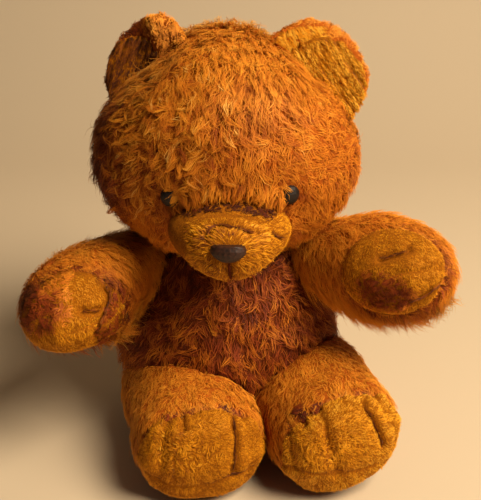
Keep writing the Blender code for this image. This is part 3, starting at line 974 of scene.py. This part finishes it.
# Sewn and creased lines, as X and Z seen from straight ahead.
MUZZLE_SEAMS = (
    ((-0.0105, 0.2195), (-0.0095, 0.2222), (-0.0062, 0.2252), (0.0004, 0.2263), (0.0117, 0.2243),
     (0.023, 0.2205)),
    ((0.0117, 0.2286), (0.0218, 0.2265), (0.0306, 0.2233)),
    ((0.0332, 0.2178), (0.0419, 0.2093)),
    ((0.0044, 0.2035), (0.0048, 0.1941), (0.0055, 0.185)),
)
PALM_FOLDS = {
    "left": (
        ((0.112, 0.184), (0.1192, 0.1871), (0.126, 0.1899), (0.1325, 0.1917)),
        ((0.1333, 0.1556), (0.1432, 0.1594), (0.1506, 0.1656), (0.155, 0.169)),
    ),
    "right": (
        ((-0.0998, 0.1554), (-0.094, 0.1528), (-0.0885, 0.1516)),
        ((-0.08, 0.17), (-0.0819, 0.1661), (-0.0829, 0.1544), (-0.088, 0.143), (-0.0938, 0.1317)),
    ),
}
SOLE_SEAMS = {
    "left": (
        ((0.0743, 0.0746), (0.0744, 0.0583), (0.0746, 0.039)),
        ((0.0424, 0.0385), (0.0558, 0.0403), (0.0748, 0.0383), (0.0933, 0.0355), (0.1115, 0.0346)),
    ),
    "right": (
        ((-0.0361, 0.054), (-0.0363, 0.0441), (-0.0369, 0.03)),
        ((-0.056, 0.039), (-0.0439, 0.0296), (-0.0305, 0.0276), (-0.0106, 0.0278), (0.0064, 0.0331),
         (0.0229, 0.0334)),
    ),
}
SOLE_FOLDS = {
    "left": (
        ((0.1022, 0.0824), (0.1088, 0.0727), (0.1152, 0.0588), (0.1174, 0.0495)),
        ((0.0575, 0.076), (0.0583, 0.0735), (0.059, 0.0705)),
    ),
    "right": (
        ((0.0065, 0.0724), (0.0087, 0.0631), (0.008, 0.0512), (0.0057, 0.037)),
        ((-0.031, 0.0775), (-0.03, 0.075), (-0.0287, 0.0725)),
    ),
}
# A brushed-up patch on each sole: middle, reach, and how much wider than high it is.
BRUSHED = {"left": ((0.073, -0.147, 0.057), 0.012, 2.4), "right": ((-0.03, -0.151, 0.059), 0.013, 1.6)}
# How many strands of fuzz grow on each palm, and the tone of each sole.
FUZZ = {"left": 3000, "right": 6400}
SOLE_TONE = {"left": 0.31, "right": 0.09}
# Which way the pile of each ear's lining lies, its tone (low on the bear's right, a painted shade), how
# strong the painted light and shade of its ridges are, how far it runs on over the rim, and its patch of
# painted light
# and its patch of painted shade: middle, reach and tone.
LININGS = {
    "left": dict(flow=(0.62, -0.2, -0.8), tone=0.36, ridged=0.9, over_rim=1.0,
                 light=((0.057, -0.012, 0.313), 0.012, 0.1), dark=((0.074, -0.01, 0.314), 0.0085, -0.26)),
    "right": dict(flow=(-0.35, -0.2, -0.9), tone=-0.42, ridged=0.1, over_rim=0.0,
                  light=((-0.074, 0.002, 0.317), 0.007, 0.16),
                  dark=((-0.0612, -0.0044, 0.3067), 0.008, -0.12)),
}


def brushed_up(side, p):
    """1 in the middle of a sole's brushed-up patch."""
    centre, reach, wider = BRUSHED[side]
    return spot(p, centre, reach, scale=(1.0 / wider, 0.3, 1.0))


def on_flap(p):
    """The plush that's drawn over the edge of the pad, on the bear's right."""
    edge = np.interp(p[:, 2], (0.132, 0.143, 0.154, 0.17), (-0.0938, -0.088, -0.0829, -0.08))
    return (p[:, 0] < 0.0) * above(p[:, 0], edge, 0.002)


def grown_over(p):
    """Where fuzz covers the outer part of the pad, above the dirt, on the bear's right."""
    return below(p[:, 0], -0.106, 0.008) * above(p[:, 2], 0.146, 0.01)


def fuzz_tone(p, n):
    dirt = np.maximum(in_stain("left", p), in_stain("right", p))
    return 0.02 - 0.32 * dirt - 0.26 * on_flap(p)


def palm_tone(p, n):
    """Soiled in the patch, and painted shade in the hollow of the bear's left palm."""
    return 0.19 + 1.1 * soiled(p, n) - 0.55 * spot(p, (0.1125, -0.094, 0.184), 0.0065)


def on_fold(p):
    """The back of the ear that folds over to the front, on the bear's right."""
    return above(p[:, 0], -0.06, 0.005) * below(p[:, 0], -0.02, 0.008)


def ear_tone(p, n):
    """Painted shade beside the fold."""
    beside = below(p[:, 0], -0.058, 0.005) * above(-n[:, 1], 0.3, 0.3)
    return 0.1 - 0.02 * on_fold(p) - 0.42 * beside


def ear_turn(p, n):
    """The fold lies open to the light."""
    return on_fold(p)[:, None] * (1.7, -0.4, 1.2)


for k, side in enumerate(("left", "right")):
    ear = LININGS[side]
    base_of_ear = middle("ear_back_" + side) - (0.0, 0.0, 0.02)
    along_lining = one_way(*ear["flow"])

    def rim_flow(p, n):
        return unit(p - base_of_ear)

    def over_rim(p, n):
        """Where the lining's pile runs on over the rim: what faces forward next to the head."""
        inner = below(p[:, 0], 0.078, 0.008) * below(p[:, 2], 0.3345, 0.003)
        return ear["over_rim"] * inner * above(-n[:, 1], 0.62, 0.2)

    def ridges(p):
        return np.clip(streaks_at(p, 0.0022, 14.0, ear["flow"], 71), -0.35, 0.2)

    def lining_tone(p, n):
        # Painted shade inside the rim, painted light and shade on the ridges, and the painted patches.
        edge = above((n * rim_flow(p, n)).sum(axis=1), 0.45, 0.2)
        shade = ear["tone"] + ear["ridged"] * ridges(p) - 0.4 * edge
        for centre, reach, amount in (ear["light"], ear["dark"]):
            shade = shade + amount * spot(p, centre, reach)
        return shade

    name = "ear_back_" + side
    base, _ = dress(name, (name,), **PLUSH, voxel=0.0022, smoothing=4)
    free = exposed(base, others(name))
    left_bare = over_rim(get_points(base), get_normals(base))
    for layer, count, style in (("wool", 3900, WOOL), ("hair", 2300, HAIR)):
        rust(f"{name}_{layer}", base, style, rim_flow, free * (1.0 - left_bare), count=count, seed=51 + k,
             length=0.4 * style["length"], rise=0.7, tone=ear_tone, turn=ear_turn, scatter=(0.5, 0.3, 0.3))
    if ear["over_rim"]:
        gold(name + "_lining", base, VELOUR, along_lining, free, count=4200, seed=52 + k, thick=over_rim,
             tone=lining_tone, length=0.0042, rise=0.8)
    name = "ear_front_" + side
    base, _ = dress(name, (name,), **VELVET, relief=lambda p: 0.003 * ridges(p), smoothing=3)
    short_pile(name, base, name, along_lining, count=9500, seed=53 + k, tone=lining_tone, length=0.0044,
               rise=0.7, wander=0.1, patches=0.02, scatter=(0.12, 0.1, 0.08), tones=(0.03, 0.05, 0.05))

    name = "palm_pad_" + side
    base, laid = dress(name, (name,), **VELVET, smoothing=12, keep=0.38, folds=PALM_FOLDS[side])
    shaded_rows(name + "_folds", base, laid, seed=91 + k, height=0.0009, spread=0.0003, light=0.3)
    free = short_pile(name, base, name, one_way(0.4, -0.3, -1.0), count=15500, seed=55 + k, tone=palm_tone,
                      lines=laid, part_width=0.005, line_shade=0.45)
    rust(name + "_fuzz", base, WOOL, one_way(-0.2, -0.4, 0.3), free, count=FUZZ[side], seed=59 + k,
         thick=lambda p, n: np.maximum.reduce([in_stain(side, p), on_flap(p), grown_over(p)]), tone=fuzz_tone,
         length=0.0058, rise=0.8, scatter=(0.7, 0.4, 0.3), spacing=(0.005, 0.0015),
         tones=(0.04, 0.03, 0.04), patches=0.03)

    name = "sole_" + side

    def from_patch(p, n):
        return unit(p - BRUSHED[side][0]) + (0.0, -0.1, -0.3)

    base, laid = dress(name, (name,), **VELVET, smoothing=6, keep=0.38, flatten=50, seams=SOLE_SEAMS[side],
                       folds=SOLE_FOLDS[side])
    shaded_rows(name + "_seams", base, laid[:-1], seed=93 + k, height=0.0012, spread=0.00025, light=0.2)
    free = short_pile(name, base, name, from_patch, count=25000, seed=57 + k, lines=laid, part_width=0.0024,
                      line_shade=0.5, tone=lambda p, n: SOLE_TONE[side] - 0.14 * brushed_up(side, p))
    gold(name + "_brushed", base, BRUSHED_UP, one_way(0.2, -0.3, -0.3), free, count=2400, seed=63 + k,
         thick=lambda p, n: brushed_up(side, p), tone=lambda p, n: 0.1 * brushed_up(side, p), lines=laid)


def shaded_side(p):
    """The side of the muzzle on the bear's right, where its pile is shorter and painted shade darkens it."""
    return below(p[:, 0], -0.019, 0.01)


def on_top(p):
    return above(p[:, 2], 0.2225, 0.003)


def under_fringe(p, n):
    """The back of the muzzle's top, which the brow's fringe shades."""
    return above(p[:, 1], -0.113, 0.003) * on_top(p)


def round_nose(p, n):
    """Where the muzzle's pile stands up in rows that run out from the nose, up to the seam over it."""
    ring = hill(np.linalg.norm(p - nose, axis=1), 0.018, 0.009)
    return ring * (1.0 - 0.7 * below(p[:, 0], -0.022, 0.008)) * below(p[:, 2], 0.2265, 0.002)


def muzzle_flow(p, n):
    """Out from the nose, but forward on top, where the fringe of the brow ends."""
    top = (above(p[:, 1], -0.126, 0.008) * on_top(p))[:, None]
    return (1.0 - top) * (unit(p - nose) + (0.0, 0.0, -0.2)) + top * (0.15, -1.0, 0.0)


def muzzle_tone(p, n):
    """Painted light on the bear's left and along the top, painted shade on the bear's right and under the
    fringe, and darker under the rows round the nose.
    """
    lit = 0.12 * above(p[:, 0], 0.008, 0.02) + 0.14 * (above(p[:, 1], -0.13, 0.006) * on_top(p))
    return 0.02 + lit - 0.12 * round_nose(p, n) - 0.26 * shaded_side(p) - 0.55 * under_fringe(p, n)


def rows_tone(p, n):
    """Light and dark rows that run out from the nose."""
    away = p - nose
    return 0.05 + muzzle_tone(p, n) + 0.35 * noise_at(0.03 * unit(away) + 0.2 * away, 0.0024, 81)


base, laid = dress("muzzle", ("muzzle_cover",), **VELVET, smoothing=4, keep=0.33, seams=MUZZLE_SEAMS)
free = short_pile("muzzle", base, "muzzle_cover", muzzle_flow, hollow=True, count=17000, seed=61, lines=laid,
                  tone=muzzle_tone, long=lambda p, n: 1.0 - 0.1 * under_fringe(p, n) - 0.45 * shaded_side(p),
                  line_shade=0.45, part_width=0.0018)
# Dark plush from the brow, pressed down under its fringe: a painted shadow of the fringe.
rust("muzzle_brim", base, WOOL, one_way(0.1, -0.8, -0.2), free, count=2600, seed=16, thick=under_fringe,
     tone=even(-0.5), length=0.0042, wander=0.3)
shaded_rows("muzzle_seams", base, laid[:3:2], seed=95, height=0.0008, spread=0.0003, light=0.34)
gold("muzzle_rows", base, BRUSHED_UP, muzzle_flow, free, count=3400, seed=62, thick=round_nose,
     tone=rows_tone, lines=laid, line_shade=0.5, scatter=(0.3, 0.2, 0.15), bend=(0.3, 0.2, 0.1))


def twisted_thread(name, along, radius=0.0005, lay=0.0026):
    """Two plies wound round each other along a line, once round in each lay."""
    run = run_of(along)
    curve = bpy.data.curves.new(name, "CURVE")
    set_values(curve, dimensions="3D", bevel_depth=radius, bevel_resolution=1, use_fill_caps=True)
    tangent = unit(np.gradient(along, axis=0))
    side = unit(np.cross(tangent, (0.0, -1.0, 0.3)))
    front = np.cross(side, tangent)
    for start in (0.0, math.pi):
        turn = (2.0 * math.pi * run / lay + start)[:, None]
        ply = along + radius * (np.cos(turn) * side + np.sin(turn) * front)
        spline = curve.splines.new("POLY")
        spline.points.add(len(ply) - 1)
        spline.points.foreach_set("co", np.c_[ply, np.ones(len(ply))].ravel())
    shape = object_of(name + "_line", curve)
    graph = bpy.context.evaluated_depsgraph_get()
    mesh = bpy.data.meshes.new_from_object(shape.evaluated_get(graph))
    bpy.data.objects.remove(shape)
    mesh.materials.clear()
    mesh.materials.append(thread_cotton)
    shade_smooth(mesh)
    made = object_of(name, mesh)
    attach(made, "root")


twisted_thread("mouth_thread", laid[-1] + (0.0, -0.0012, 0.0))

# -------- stage

pale = new_material("pale_floor", Roughness=0.8, Base_Color=srgb(202, 184, 158))[0]
floor_mesh = bpy.data.meshes.new("floor")
bm = bmesh.new()
SWEEP = 0.6  # the radius by which the floor bends up into the wall behind
turns = np.linspace(0.1, math.pi / 2, 12)
profile = [(-3.0, 0.0), (SWEEP, 0.0)]
profile += [(SWEEP + SWEEP * math.sin(a), SWEEP - SWEEP * math.cos(a)) for a in turns] + [(2.0 * SWEEP, 2.6)]
rows = [[bm.verts.new((x, y, z)) for x in (-2.5, 2.5)] for y, z in profile]
for low, high in zip(rows, rows[1:]):
    bm.faces.new((low[0], low[1], high[1], high[0])).smooth = True
bm.to_mesh(floor_mesh)
bm.free()
floor_mesh.materials.append(pale)
floor = object_of("floor", floor_mesh)

LOOKS_DOWN = 26.0  # degrees
camera_data = bpy.data.cameras.new("camera")
set_values(camera_data, sensor_fit="VERTICAL", sensor_height=36.0, lens=60.5)
camera = object_of("camera", camera_data)
camera.location = (0.012, -0.634, 0.455)
camera.rotation_euler = (math.radians(90.0 - LOOKS_DOWN), 0.0, 0.0)
scene.camera = camera


def area_light(name, location, aim, size, power, colour):
    data = bpy.data.lights.new(name, "AREA")
    set_values(data, size=size, energy=power, color=colour)
    made = object_of(name, data)
    made.location = location
    made.rotation_euler = (Vector(aim) - Vector(location)).to_track_quat("-Z", "Y").to_euler()


area_light("key", (0.98, -0.72, 1.52), (0.0, -0.05, 0.17), size=0.9, power=63.0, colour=(1.0, 0.84, 0.62))
area_light("fill", (-1.2, -1.2, 0.7), (0.0, 0.0, 0.15), size=1.2, power=0.28, colour=(1.0, 0.88, 0.8))
scene.world = bpy.data.worlds.new("world")
scene.world.use_nodes = True
set_sockets(scene.world.node_tree.nodes["Background"], Color=(1.0, 0.86, 0.8, 1.0), Strength=0.04)
scene.view_settings.view_transform = "Standard"
